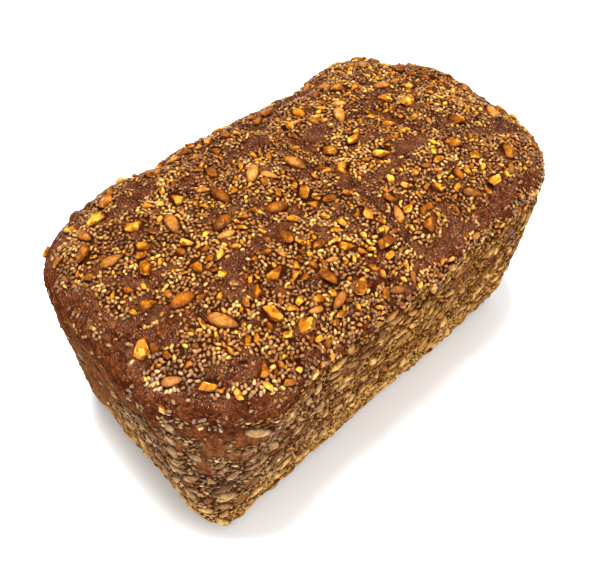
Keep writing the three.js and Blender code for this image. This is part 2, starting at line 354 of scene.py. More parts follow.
def large_pieces():
    """The large pieces where the part has them."""
    x, y = np.array([(row[1], row[2]) for row in SHOWPIECES], float).T
    size = 1 + SIZE_SPREAD / 2
    laid = []
    for row, point in zip(SHOWPIECES, top_points(x, y)):
        laid.append((row[0], point, row[3], size, True))
    draws = dice_run(SCATTER_SEED, 2 * 5 * MAX_TRIES)
    for count, on_top, gap in ((TOP_SCATTER, True, SCATTER_GAP), (WALL_SCATTER, False, WALL_GAP)):
        tries = draws[: 5 * MAX_TRIES].reshape(-1, 5)
        if on_top:
            x, y = LENGTH * (tries[:, 0] - 0.5), WIDTH * (tries[:, 1] - 0.5)
            points = top_points(x, y)
            allowed = (past_rim(x, y) < -TOP_INSET) & (furrow(x, y) <= 0)
        else:
            z = mix(BASE_EDGE + WALL_MARGIN, RIM_HEIGHT - WALL_MARGIN, tries[:, 1])
            points = outline_points(z, tries[:, 0])
            allowed = np.ones(len(z), bool)
        placed = used = 0
        while placed < count and used < MAX_TRIES:
            _, _, kind_draw, turn, spread = tries[used]
            point = points[used]
            used += 1
            if not allowed[used - 1]:
                continue
            kind = scatter_kind(kind_draw, on_top)
            size = 1 + SIZE_SPREAD * (spread - 0.5)
            length = KINDS[kind][0] * size
            if all(
                math.dist(point, other) > (KINDS[k][0] * s + length) / 2 + gap
                for k, other, _, s, _ in laid
            ):
                laid.append((kind, point, 360 * turn, size, on_top))
                placed += 1
        draws = draws[5 * used :]
    points = np.array([row[1] for row in laid])
    ups = unit(slope(points))
    seats = points + ups * relief(points)[:, None]
    pieces = []
    for (kind, _, heading, size, on_top), seat, up in zip(laid, seats, ups):
        proud = TOP_PROUD_SHARE if on_top else WALL_PROUD_SHARE
        pieces.append(Piece(kind, seat, up, heading, size, proud, "top" if on_top else "wall"))
    return pieces


def discs_of(piece):
    """The round spots that a piece covers, as rows of centre and radius."""
    length, width, _ = np.array(KINDS[piece.kind]) * piece.size
    if length < LONG_PIECE:
        return np.array([[*piece.point, length * SHORT_SPOT]])
    along = axes_of(piece)[0]
    places, radii = LONG_SPOTS
    return np.column_stack([piece.point + np.outer(places * length / 2, along), width * radii])


def axes_of(piece):
    """Along, across and up for a piece, turned to its heading as in the part."""
    up = piece.up
    level = np.array([0.0, 1, 0]) if abs(up[0]) > 0.9 else np.array([1.0, 0, 0])
    flat = level - up * (level @ up)
    flat /= np.linalg.norm(flat)
    side = np.cross(up, flat)
    turn = math.radians(piece.heading)
    along = flat * math.cos(turn) + side * math.sin(turn)
    return along, np.cross(up, along), up


def crust_sites(count, rng):
    """Random places all over the finished crust, each with the crust's normal there."""
    mesh = bpy.data.objects["crust"].data
    mesh.calc_loop_triangles()
    corners = rows_of(mesh.loop_triangles, "vertices", int)
    places = rows_of(mesh.vertices, "co") / MM
    normals = rows_of(mesh.vertices, "normal")
    a, b, c = (places[corners[:, k]] for k in range(3))
    areas = np.linalg.norm(np.cross(b - a, c - a), axis=1)
    chosen = rng.choice(len(areas), count, p=areas / areas.sum())
    u, v = rng.random((2, count, 1))
    fold = u + v > 1
    u, v = np.where(fold, 1 - u, u), np.where(fold, 1 - v, v)
    points = a[chosen] * (1 - u - v) + b[chosen] * u + c[chosen] * v
    n0, n1, n2 = (normals[corners[chosen, k]] for k in range(3))
    return points, unit(n0 * (1 - u - v) + n1 * u + n2 * v)


def regions(points, ups):
    """Which region each place belongs to."""
    low = points[:, 2] < UNDERSIDE_TOP
    high = (points[:, 2] > TOP_START) & (ups[:, 2] > TOP_TILT)
    return np.where(low, "underside", np.where(high, "top", "wall"))


def depth_inside(ovals, x, y):
    """How far places in plan lie inside the nearest oval: 1 in the middle of one, 0 at its edge."""
    deepest = np.full(len(x), -1.0)
    for middle_x, middle_y, half_length, half_width, heading in ovals:
        turn = math.radians(heading)
        dx, dy = x - middle_x, y - middle_y
        along = (dx * math.cos(turn) + dy * math.sin(turn)) / half_length
        across = (dy * math.cos(turn) - dx * math.sin(turn)) / half_width
        deepest = np.maximum(deepest, 1 - along**2 - across**2)
    return deepest


def seed_cover(points):
    """How thickly seeds stuck at each place, from 0, bare, to 1."""
    x, y, z = points.T
    on_top = ease(RIM_HEIGHT - 8, RIM_HEIGHT + 2, z)
    ragged = 0.45 * patches(points, 7, 5) + 0.5 * patches(points, 16, 6)
    # The top is bare in its patches, its furrows, a strip along the front and the near end's rim.
    front = ease(-44, -49, y)
    strip = front * ease(-55, -51, y) * ease(0, 20, x) * ease(74, 62, x)
    torn = 1.6 * furrow(x, y) - 0.7 - 1.2 * front * ease(6, -6, x)
    bare = np.maximum(depth_inside(BARE_PATCHES, x, y), torn)
    bare = np.maximum(bare, np.maximum(1.7 * strip - 1, -0.15))
    bare = np.maximum(bare, 1.4 * ease(-8, -4, past_rim(x, y)) * ease(-58, -74, x) - 0.5)
    bare = bare - 1.6 * np.maximum(depth_inside(THICK_PATCHES, x, y), 0)
    top = 1 - ease(0.0, 0.5, bare + ragged)
    # The walls have fewer seeds high on the near corner, and none on one half of each end.
    corner = ease(-62, -88, x) * ease(52, 76, z)
    wall = 1 - ease(0.4, 1.0, patches(points, 11, 7) + 1.1 * corner)
    edge = mix(16, -22, np.clip(z / RIM_HEIGHT, 0, 1) ** 1.5) + 4 * patches(points, 9, 10)
    end = ease(80, 92, np.abs(x) + 5 * patches(points, 10, 14))
    held = end * ease(-3, 3, -y * np.sign(x) - edge)
    below = 1 - ease(-0.1, 0.2, patches(points, 16, 12))
    wall = np.where(z < UNDERSIDE_TOP, below, wall * (1 - held))
    return mix(wall, top, on_top)


def heat(points):
    """How hard each place was toasted, from 0 at the near corner to 1 from about the middle on."""
    x, y, z = points.T
    return ease(-135, mix(-20, -85, ease(RIM_HEIGHT - 12, RIM_HEIGHT, z)), x + 0.5 * y)


def lowness(points):
    """How near places are to the base, from 0 where the wall is open to the oven, to 1. It pales the
    crust and seeds there, partly as less-baked crust and partly as painted light against the shade at
    the loaf's foot.
    """
    return ease(45, 5, points[:, 2])


def leaned(up, lean, draws):
    """An upright tipped by up to this share each way."""
    tipped = up + lean * (draws * 2 - 1)
    return tipped / np.linalg.norm(tipped)


class Ground:
    """What is already covered. A spot is listed in every cell within reach of a small seed."""

    def __init__(self, reach):
        self.reach = reach
        self.cells = {}

    def cover(self, x, y, z, radius):
        span = radius + self.reach
        lows = [math.floor((c - span) / self.reach) for c in (x, y, z)]
        highs = [math.floor((c + span) / self.reach) for c in (x, y, z)]
        for cell in itertools.product(*(range(low, high + 1) for low, high in zip(lows, highs))):
            self.cells.setdefault(cell, []).append((x, y, z, radius))

    def is_free(self, x, y, z, radius):
        cell = (math.floor(x / self.reach), math.floor(y / self.reach), math.floor(z / self.reach))
        for a, b, c, other in self.cells.get(cell, ()):
            if (a - x) ** 2 + (b - y) ** 2 + (c - z) ** 2 < (other + radius) ** 2:
                return False
        return True


@functools.lru_cache(maxsize=None)
def topping():
    """Every piece of the topping, largest first, none on another."""
    rng = np.random.default_rng(SCATTER_SEED)
    pieces = large_pieces()
    spots = np.vstack([discs_of(piece) for piece in pieces])
    for kind, region, count, (small, large), gap in COURSES:
        points, ups = crust_sites(count * 60, rng)
        thick = seed_cover(points) > rng.uniform(0.2, 0.9, len(points))
        keep = thick & (regions(points, ups) == region)
        placed = 0
        for point, up in zip(points[keep], ups[keep]):
            size = rng.uniform(small, large)
            piece = Piece(kind, point, up, rng.uniform(0, 360), size, COURSE_PROUD[region], region)
            new = discs_of(piece)
            apart = np.linalg.norm(spots[:, None, :3] - new[None, :, :3], axis=2)
            if (apart > spots[:, None, 3] + new[None, :, 3] + gap).all():
                pieces.append(piece)
                spots = np.vstack([spots, new])
                placed += 1
            if placed == count:
                break
    settings = bpy.context.scene.rye_topping
    radius = settings.sesame_spacing / MM / 2
    ground = Ground(2.2 * radius)
    for row in spots:
        ground.cover(*row)
    points, ups = crust_sites(settings.sesame_tries, rng)
    cover = seed_cover(points)
    where = regions(points, ups)
    draws = rng.random((len(points), 6))
    for point, up, region, share, draw in zip(points, ups, where, cover, draws):
        taken, proud, lean = SEED_LIES[region]
        room = radius * taken
        stray = draw[0] < STRAY_DRAW
        if not stray and share < mix(0.1, 0.6, draw[0]) or not ground.is_free(*point, room):
            continue
        kind = "hulled" if draw[1] < HULLED_DRAW else "linseed" if draw[1] < LINSEED_DRAW else "sesame"
        up, size = leaned(up, lean, draw[3:6]), mix(*SEED_SIZES, draw[2])
        pieces.append(Piece(kind, point, up, 360 * draw[5], size, mix(*proud, draw[4]), region))
        ground.cover(*point, room)
    # Meal shows wherever the tin didn't press it flat and no seed covers it.
    points, ups = crust_sites(settings.meal_tries, rng)
    draws = rng.random((len(points), 6))
    high = points[:, 2] > RIM_HEIGHT - 2 - 10 * draws[:, 0]
    loose = high & (ups[:, 2] > mix(0.1, 0.5, draws[:, 0]))
    left = settings.meal_count
    where = np.where(ups[:, 2] > GLAZED_TILT, "top", "wall")
    for point, up, region, draw in zip(points[loose], ups[loose], where[loose], draws[loose]):
        radius = mix(*MEAL_RADII, draw[1] ** 3)
        if left == 0 or not ground.is_free(*point, radius + MEAL_GAP):
            continue
        up, size = leaned(up, MEAL_LEAN, draw[2:5]), radius / MEAL_SPOT
        pieces.append(Piece("meal", point, up, 360 * draw[5], size, MEAL_PROUD, region))
        ground.cover(*point, radius)
        left -= 1
    return pieces


# Modelling helpers.


def select_where(obj, test):
    """In edit mode, selects the vertices whose place passes the test."""
    bpy.ops.mesh.select_all(action="DESELECT")
    bpy.ops.object.mode_set(mode="OBJECT")
    for vertex in obj.data.vertices:
        vertex.select = test(vertex.co)
    bpy.ops.object.mode_set(mode="EDIT")


def select_edges(obj, test):
    """In edit mode, selects the edges whose two ends pass the test."""
    bpy.ops.mesh.select_mode(type="EDGE")
    bpy.ops.mesh.select_all(action="DESELECT")
    bpy.ops.object.mode_set(mode="OBJECT")
    places = [vertex.co for vertex in obj.data.vertices]
    for edge in obj.data.edges:
        edge.select = test(places[edge.vertices[0]], places[edge.vertices[1]])
    bpy.ops.object.mode_set(mode="EDIT")


def apply_modifier(obj, kind, **settings):
    modifier = obj.modifiers.new(kind.title(), kind)
    for name, value in settings.items():
        setattr(modifier, name, value)
    bpy.ops.object.modifier_apply(modifier=modifier.name)


def on_all(step, **settings):
    """Runs an edit step on the whole mesh."""
    bpy.ops.mesh.select_all(action="SELECT")
    step(**settings)


def float_attribute(mesh, name, values):
    attribute = mesh.attributes.new(name, "FLOAT", "POINT")
    attribute.data.foreach_set("value", np.asarray(values, np.float32))


def rows_of(items, name, kind=float):
    """One value of each of a mesh's items, as rows of three numbers."""
    flat = np.empty(len(items) * 3, kind)
    items.foreach_get(name, flat)
    return flat.reshape(-1, 3)


def finish_piece(obj, name, material):
    """Names a piece, gives it its material, and sets it on the frame."""
    obj.name = obj.data.name = name
    obj.data.materials.clear()
    obj.data.materials.append(material)
    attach(obj, "root")


# Materials.


def add_node(tree, kind, inputs=None, **settings):
    """Adds a shader node with its settings. Each input gets a value, or the socket that feeds it,
    or the node whose first live output feeds it."""
    node = tree.nodes.new("ShaderNode" + kind)
    for name, value in settings.items():
        setattr(node, name, value)
    for name, value in (inputs or {}).items():
        if isinstance(value, bpy.types.Node):
            value = next(socket for socket in value.outputs if socket.enabled)
        if isinstance(value, bpy.types.NodeSocket):
            tree.links.new(value, node.inputs[name])
        else:
            node.inputs[name].default_value = value
    return node


def new_material(name):
    """An empty material, and the function that adds a node to it."""
    material = bpy.data.materials.new(name)
    material.use_nodes = True
    material.node_tree.nodes.clear()
    return material, functools.partial(add_node, material.node_tree)


def set_ramp(node, stops):
    """Gives a colour ramp its stops, each a place and a linear colour."""
    elements = node.color_ramp.elements
    while len(elements) < len(stops):
        elements.new(1)
    for element, (place, colour) in zip(elements, stops):
        element.position = place
        element.color = (*colour, 1)


def shades(middle, dark, pale, places=(0, 0.3, 0.6, 0.85, 1), cream="#eec06a"):
    """Ramp stops from a dark share of a middle colour, through it, to a share of the way to cream."""
    middle, cream = np.array(middle), np.array(srgb(cream))
    warmer = np.array([1, 1.15, 1.3])
    colours = [
        middle * dark**warmer,
        middle * mix(dark, 1, 0.4) ** warmer,
        middle,
        mix(middle, cream, 0.4 * pale),
        mix(middle, cream, pale),
    ]
    return list(zip(places, colours))


def crust_material(settings):
    # Baked rye crust: dough of coarse dark meal, glazed brown by its own starch. Dull, mottled
    # from purple brown to rust, and grainy; paler and drawn out where it slid up the tin.
    material, add = new_material("baked_rye_crust")
    place = add("TexCoord").outputs["Object"]
    # The shaded mark is painted shade, laid between the seeds and in the crust's hollows.
    wall, pale, shaded = (
        add("Attribute", attribute_name=name).outputs["Fac"] for name in ("wall", "pale", "shaded")
    )
    blotch = add("TexNoise", {"Vector": place, "Scale": 150, "Detail": 6, "Roughness": 0.75})
    ramp = add("ValToRGB", {"Fac": blotch})
    set_ramp(ramp, shades(settings.top_colour, 0.22, 0.16, (0.34, 0.42, 0.5, 0.58, 0.68)))
    streaks = add("Mapping", {"Vector": place, "Scale": (420, 420, 130)})
    drawn = add("TexNoise", {"Vector": streaks, "Scale": 1, "Detail": 4, "Roughness": 0.65})
    wall_ramp = add("ValToRGB", {"Fac": drawn})
    set_ramp(wall_ramp, shades(settings.wall_colour, 0.35, 0.25, (0.3, 0.42, 0.52, 0.62, 0.75)))
    # Paler crust near the base: partly less baked, partly painted light against the shade at the loaf's
    # foot.
    low = add("Mix", {SHARE: pale, UNDER: wall_ramp, OVER: (*settings.low_colour, 1)}, data_type="RGBA")
    # A vein runs wherever this noise passes through its middle.
    winding = add("TexNoise", {"Vector": place, "Scale": 260, "Detail": 2, "Distortion": 1.2})
    side = add("Math", {0: winding, 1: 0.5}, operation="SUBTRACT")
    away = add("Math", {0: side}, operation="ABSOLUTE")
    vein = add("MapRange", {"Value": away, "From Max": 0.035, "To Min": 0.75, "To Max": 0.0})
    # Over the open crust come the pressed wall, the veins, and painted shade between the seeds and in
    # the crust's hollows.
    colour = ramp
    for share, over in (
        (wall, low), (vein, (*settings.vein_colour, 1)), (shaded, (*settings.gap_shade_colour, 1)),
    ):
        colour = add("Mix", {SHARE: share, UNDER: colour, OVER: over}, data_type="RGBA")
    # Crumbs of meal about a millimetre across, pushed about so that they keep no pattern.
    stir = add("TexNoise", {"Vector": place, "Scale": 500, "Detail": 1}).outputs["Color"]
    push = (0.0022, 0.0022, 0.0022)
    moved = add("VectorMath", {0: stir, 1: push, 2: place}, operation="MULTIPLY_ADD")
    meal = add("TexVoronoi", {"Vector": moved, "Scale": 950})
    grain = add("TexNoise", {"Vector": place, "Scale": 1100, "Detail": 4, "Roughness": 0.75})
    height = add("Math", {0: meal, 1: -0.35, 2: grain}, operation="MULTIPLY_ADD")
    # The crust's brightness follows this height: partly its own fine grain, partly painted light on the
    # crumbs' tops and painted shade in the pits between them.
    speck_light_and_shade = add("MapRange", {
        "Value": height, "From Min": 0.08, "From Max": 0.45, "To Min": 0.55, "To Max": 1.4,
    })
    shader = add("BsdfPrincipled", {
        "Base Color": add("VectorMath", {0: colour, 3: speck_light_and_shade}, operation="SCALE"),
        "Roughness": add("MapRange", {"Value": wall, "To Min": 0.32, "To Max": 0.85}),
        "IOR": 1.45,
        "Specular IOR Level": 0,
        "Normal": add("Bump", {"Strength": 1.0, "Distance": 0.003, "Height": height}),
    })
    add("OutputMaterial", {"Surface": shader})
    return material


# scorch_and_shade is one dark colour, used for the scorch blotches and for the painted shade at each
# seed's foot.
def seed_material(name, colour, dark, pale, scorch_and_shade, roughness, cream="#eec06a", specular=0.3, coat=0.0,
                  scorch=0.25, blotch=0.7, depth=0.0006, faded=1.0, dimmed=1.0, facets=0.0,
                  tint=(1, 0.85, 0.65)):
    """A seed's coat. Its shade comes from the seed's tone, which holds painted light and shade as well
    as the seed's own colour, changed by up to half of facets from one broken face to the next, greyed
    where the oven toasted it least and dimmed towards the near corner, scorched in blotches this many
    millimetres across, and darkened with painted shade where it meets the crust."""
    material, add = new_material(name)
    place = add("TexCoord").outputs["Object"]
    tone, dull, rim = (
        add("Attribute", attribute_name=name).outputs["Fac"] for name in ("tone", "dull", "rim")
    )
    face = add("TexVoronoi", {"Vector": place, "Scale": 420}).outputs["Color"]
    lift = add("MapRange", {
        "Value": face, "From Min": 0.2, "From Max": 0.8, "To Min": -facets / 2, "To Max": facets / 2,
    })
    ramp = add("ValToRGB", {"Fac": add("Math", {0: tone, 1: lift}, operation="ADD")})
    set_ramp(ramp, shades(colour, dark, pale, cream=cream))
    colour = add("HueSaturation", {"Fac": dull, "Color": ramp, "Saturation": faded, "Value": dimmed})
    mottle = add("TexNoise", {"Vector": place, "Scale": 1000 / blotch, "Detail": 3, "Roughness": 0.6})
    burn = add("MapRange", {"Value": mottle, "From Min": 0.46, "From Max": 0.62, "To Max": scorch})
    # Scorch blotches in the dark colour, then painted shade in the same colour where the seed meets the
    # crust.
    for share in (burn, rim):
        colour = add("Mix", {SHARE: share, UNDER: colour, OVER: (*srgb(scorch_and_shade), 1)}, data_type="RGBA")
    shader = add("BsdfPrincipled", {
        "Base Color": colour,
        "Roughness": roughness,
        "IOR": 1.47,
        "Specular IOR Level": specular,
        "Specular Tint": (*tint, 1),
        "Coat Weight": coat,
        "Coat Roughness": 0.2,
        "Normal": add("Bump", {"Strength": 0.6, "Distance": depth, "Height": mottle}),
    })
    add("OutputMaterial", {"Surface": shader})
    return material


# Seed patterns. Each is modelled once, two units long, wide and deep, and lies along X.


def begin_pattern(adder, **settings):
    bpy.ops.object.select_all(action="DESELECT")
    adder(**settings)
    return bpy.context.object


def take_pattern(obj):
    """The pattern's points and faces, with the modelled object removed."""
    bpy.ops.object.mode_set(mode="OBJECT")
    points = rows_of(obj.data.vertices, "co")
    middle = (points.max(0) + points.min(0)) / 2
    points = (points - middle) / ((points.max(0) - points.min(0)) / 2)
    loops = [list(face.vertices) for face in obj.data.polygons]
    mesh = obj.data
    bpy.data.objects.remove(obj)
    bpy.data.meshes.remove(mesh)
    return points, loops


def seed_pattern(segments, rings, profile):
    """A rounded seed along X, its girth at each place from tail to head given by the profile."""
    seed = begin_pattern(
        bpy.ops.mesh.primitive_uv_sphere_add, segments=segments, ring_count=rings, radius=1,
        rotation=(0, math.pi / 2, 0),
    )
    bpy.ops.object.transform_apply(rotation=True)
    bpy.ops.object.mode_set(mode="EDIT")
    for ring in range(1, rings):
        place, girth = math.cos(math.pi * ring / rings), math.sin(math.pi * ring / rings)
        select_where(seed, lambda p: abs(p.x - place) < 0.05)
        share = profile(place) / girth
        bpy.ops.transform.resize(value=(1, share, share), center_override=(0, 0, 0))
    return take_pattern(seed)


def plump(x):
    """A sesame seed's girth: full at the head, drawn in at the tail."""
    return (1 - x * x) ** 0.4 * (0.9 + 0.2 * x)


def drop(x):
    """A sunflower kernel's girth: broad at the head, drawn out to the tail."""
    return (1 - x * x) ** 0.6 * (0.8 + 0.24 * x - 0.04 * x * x)


def spindle(x):
    """A linseed's or a long grain's girth."""
    return (1 - x * x) ** 0.5 * (0.92 + 0.1 * x)


def grit_pattern(seed):
    """A broken bean piece: an uneven lump cut by flat breaks, with narrow worn edges."""
    rng = np.random.default_rng(seed)
    lump = begin_pattern(bpy.ops.mesh.primitive_ico_sphere_add, subdivisions=2, radius=1)
    bpy.ops.object.mode_set(mode="EDIT")
    on_all(bpy.ops.transform.vertex_random, offset=0.1, seed=seed)
    for _ in range(8):
        way = rng.normal(size=3)
        way /= np.linalg.norm(way)
        place = tuple(way * rng.uniform(0.3, 0.62))
        on_all(bpy.ops.mesh.bisect, plane_co=place, plane_no=tuple(way), use_fill=True, clear_outer=True)
    on_all(bpy.ops.mesh.dissolve_limited, angle_limit=math.radians(26))
    on_all(bpy.ops.mesh.bevel, offset=0.045, segments=1, affect="EDGES")
    on_all(bpy.ops.mesh.remove_doubles, threshold=0.02)
    bpy.ops.mesh.normals_make_consistent(inside=False)
    points, loops = take_pattern(lump)
    return points * (1, rng.uniform(0.75, 1), rng.uniform(0.7, 1)), loops


def meal_pattern(seed):
    """A crumb of coarse meal: a small lump of uneven facets."""
    crumb = begin_pattern(bpy.ops.mesh.primitive_ico_sphere_add, subdivisions=1, radius=1)
    bpy.ops.object.mode_set(mode="EDIT")
    on_all(bpy.ops.transform.vertex_random, offset=0.35, seed=seed)
    return take_pattern(crumb)


def lay_copies(piece_name, patterns, pieces, material, smooth=True):
    """One mesh of many seeds: each a copy of a pattern, at its true size and place."""
    rng = np.random.default_rng(len(pieces))
    all_points, all_loops, all_starts, tones_and_painted_light, contact_shades, dulls = [], [], [], [], [], []
    vertex_count = loop_count = 0
    for which, (points, faces) in enumerate(patterns):
        chosen = pieces[which :: len(patterns)]
        if not chosen:
            continue
        turns = np.array([np.column_stack(axes_of(piece)) for piece in chosen])
        halves = np.array([np.array(KINDS[piece.kind]) * piece.size / 2 for piece in chosen])
        proud, ups, places = (
            np.array([getattr(piece, name) for piece in chosen]) for name in ("proud", "up", "point")
        )
        seats = places + ups * (halves[:, 2] * (2 * proud - 1))[:, None]
        placed = np.einsum("nij,nkj->nki", turns, points[None] * halves[:, None, :]) + seats[:, None, :]
        all_points.append(placed.reshape(-1, 3))
        loop = np.concatenate([np.array(face) for face in faces])
        start = np.cumsum([0] + [len(face) for face in faces[:-1]])
        shift = np.arange(len(chosen))[:, None]
        all_loops.append((loop[None] + shift * len(points) + vertex_count).ravel())
        all_starts.append((start[None] + shift * len(loop) + loop_count).ravel())
        # The tone drifts over the loaf and from seed to seed. It is paler near the base, partly as
        # less-baked crust and partly as painted light against the shade at the loaf's foot.
        tone = rng.beta(1.7, 1.7, len(chosen)) + 0.4 * lowness(places)
        tone += 0.12 * patches(places, 26, 11) + 0.14 * patches(places, 8, 13)
        dull = (1 - heat(places)) * (1 - 0.8 * ease(40, 10, places[:, 2]))
        dulls.append(np.repeat(dull, len(points)))
        height = (points[None, :, 2] - 1) / (2 * proud)[:, None] + 1
        # Painted light and shade: each seed is paler towards its top and darker where it sinks into the
        # crust.
        tones_and_painted_light.append(np.clip(tone[:, None] + 0.35 * ease(0.1, 1, height) - 0.25, 0, 1).ravel())
        # Painted shade: rim is 1 at a seed's foot, where it meets the crust, and 0 on its top.
        contact_shades.append(1 - ease(-0.2, 0.75, height).ravel())
        vertex_count += placed.shape[0] * placed.shape[1]
        loop_count += len(loop) * len(chosen)
    mesh = bpy.data.meshes.new(piece_name)
    mesh.vertices.add(vertex_count)
    flat = np.vstack(all_points)
    flat[:, 2] = np.maximum(flat[:, 2], TABLE_GAP)
    mesh.vertices.foreach_set("co", (flat * MM).ravel())
    loops, starts = np.concatenate(all_loops), np.concatenate(all_starts)
    mesh.loops.add(len(loops))
    mesh.loops.foreach_set("vertex_index", loops.astype(np.int32))
    mesh.polygons.add(len(starts))
    mesh.polygons.foreach_set("loop_start", starts.astype(np.int32))
    mesh.update(calc_edges=True)
    for name, values in (("tone", tones_and_painted_light), ("rim", contact_shades), ("dull", dulls)):
        float_attribute(mesh, name, np.concatenate(values))
    obj = bpy.data.objects.new(piece_name, mesh)
    bpy.context.scene.collection.objects.link(obj)
    if smooth:
        mesh.shade_smooth()
    finish_piece(obj, piece_name, material)


def of_kind(kind, *where):
    """The pieces of a kind in these regions, or everywhere."""
    return [piece for piece in topping() if piece.kind == kind and (not where or piece.region in where)]


# What a user may change.


def colour_property(name, description, code):
    return FloatVectorProperty(
        name=name, description=description, subtype="COLOR", size=3, min=0, max=1, default=srgb(code),
    )


def length_property(name, description, size):
    return FloatProperty(
        name=name, description=description, default=size * MM, unit="LENGTH", precision=5,
    )


def angle_property(name, description, degrees):
    return FloatProperty(
        name=name, description=description, default=math.radians(degrees), subtype="ANGLE",
    )


class RyeCrust(PropertyGroup):
    voxel: length_property("Mesh size", "Size of the crust's faces", 1.12)
    crag_height: length_property("Crag height", "Height of the crust's coarse lumps", 2.0)
    grain_height: length_property("Grain height", "Height of the crust's fine grain", 1.4)
    base_lift: length_property("Base lift", "How far the seeds hold the crust off the table", 0.3)
    top_colour: colour_property("Top crust", "Middle colour of the open crust", "#703a26")
    vein_colour: colour_property("Veins", "Colour of the thin rusty veins in the crust", "#b8642a")
    wall_colour: colour_property("Wall crust", "Middle colour of the pressed crust", "#925a38")
    # Paler crust near the base: partly less-baked crust, partly painted light against the shade at the
    # loaf's foot.
    low_colour: colour_property("Low crust", "Colour of the paler crust near the base", "#ac7c4c")
    # Painted shade: the dark colour laid on the crust between the seeds and in its hollows.
    gap_shade_colour: colour_property("Torn crust", "Colour of the crust between the seeds", "#351606")
    meal_colour: colour_property("Meal", "Middle colour of the meal's crumbs", "#62321f")


class RyeTopping(PropertyGroup):
    sesame_spacing: length_property("Seed spacing", "Least distance between small seeds", 1.34)
    sesame_tries: IntProperty(
        name="Seed tries", description="How many places are tried for small seeds", default=480000,
    )
    meal_tries: IntProperty(
        name="Meal tries", description="How many places are tried for crumbs of meal", default=200000,
    )
    meal_count: IntProperty(name="Meal crumbs", description="The most crumbs of meal", default=8000)
    sesame_colour: colour_property("Sesame", "Middle colour on the top", "#905a26")
    pressed_colour: colour_property("Pressed sesame", "Middle colour on the walls", "#8e5c2a")
    hulled_colour: colour_property("Hulled sesame", "Middle colour of its kernels", "#dca038")
    linseed_colour: colour_property("Linseed", "Middle colour of its hull", "#70300c")
    soya_colour: colour_property("Cracked soya", "Middle colour on the top", "#c47208")
    pressed_soya_colour: colour_property("Pressed soya", "Middle colour on the walls", "#b0701c")
    sunflower_colour: colour_property("Sunflower", "Middle colour on the top", "#b46c20")
    pressed_sunflower_colour: colour_property("Pressed kernels", "Middle colour on the walls", "#b27e46")
    grain_colour: colour_property("Whole grain", "Middle colour of the dark grains", "#a25606")


class RyeStage(PropertyGroup):
    azimuth: angle_property("Azimuth", "Camera's turn about the loaf", -44.65)
    elevation: angle_property("Elevation", "Camera's height above the level", 50.67)
    roll: angle_property("Roll", "Camera's turn about its view", -1.85)
    distance: length_property("Distance", "Camera to the middle of its view", 297.9)
    lens: FloatProperty(name="Lens", description="Focal length in millimetres", default=43.34)


